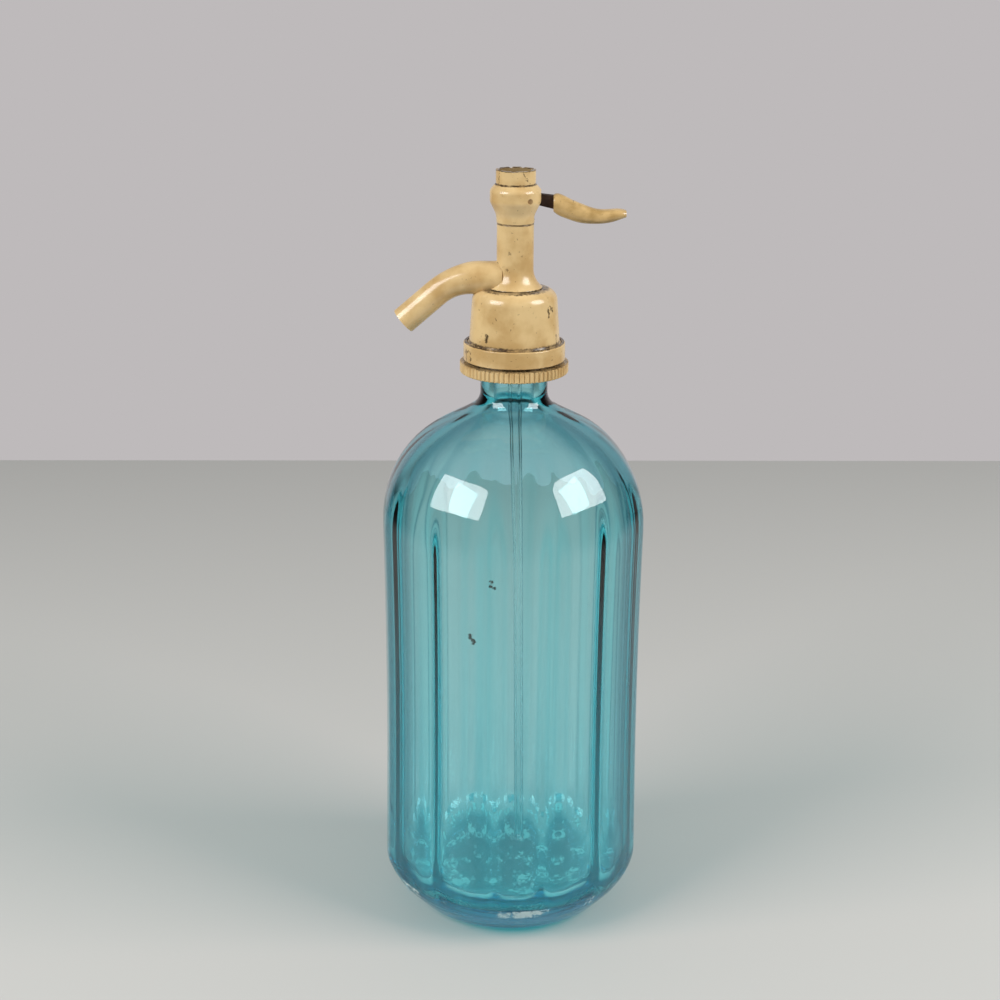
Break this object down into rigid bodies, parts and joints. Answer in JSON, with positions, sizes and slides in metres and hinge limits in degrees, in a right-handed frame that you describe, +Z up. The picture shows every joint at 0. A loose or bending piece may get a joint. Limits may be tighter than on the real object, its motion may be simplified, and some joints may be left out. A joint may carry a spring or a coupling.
{
  "type": "soda siphon",
  "caption": "Soda siphon: thick panelled glass bottle with a screwed-on moulded head, a bent spout and a short lever that lifts a valve.",
  "frame": {"origin": "centre of the flat base, on the surface it stands on", "axes": "+Z up along the bottle, -X towards the spout, +X towards the lever"},
  "size_m": [0.1056, 0.1056, 0.3085],
  "materials": {
    "aqua_glass": "polished",
    "clear_glass": "polished",
    "cream_plastic": "gloss",
    "spout_liner": "gloss",
    "brass": "satin",
    "steel": "satin",
    "rusty_steel": "matte",
    "rubber": "matte"
  },
  "bodies": {
    "siphon": {"glass_bottle": "aqua_glass", "dip_tube": "clear_glass", "tube_holder": "brass", "tube_gasket": "rubber", "neck_gasket": "rubber", "split_collar_front": "brass", "split_collar_back": "brass", "knurled_ring": "cream_plastic", "collar_ring": "cream_plastic", "bell_cover": "cream_plastic", "stem_column": "cream_plastic", "lever_housing": "cream_plastic", "top_collar": "cream_plastic", "core_body": "brass", "valve_seat": "brass", "rod_seal": "rubber", "seal_follower": "brass", "guide_bush": "brass", "lever_pin": "steel", "spout_tube": "cream_plastic", "spout_liner": "spout_liner"},
    "lever": {"lever_shank": "rusty_steel", "lever_grip": "cream_plastic"},
    "valve": {"valve_rod": "steel", "valve_washer": "rubber", "washer_retainer": "brass", "valve_spring": "steel"}
  },
  "joints": [
    {"name": "lever_hinge", "type": "hinge", "parent": "siphon", "child": "lever", "pos_m": [0.0055, 0, 0.29741], "axis": [0, 1, 0], "range_deg": [0, 18], "stiffness_Nm_per_rad": 0.4, "springref_deg": -17.19},
    {"name": "valve_slide", "type": "slide", "parent": "siphon", "child": "valve", "axis": [0, 0, 1], "range_m": [0, 0.0018], "deforming": ["valve_spring"]}
  ],
  "couplings": [
    {"joint": "valve_slide", "follows": "lever_hinge", "m_per_rad": 0.0055}
  ]
}
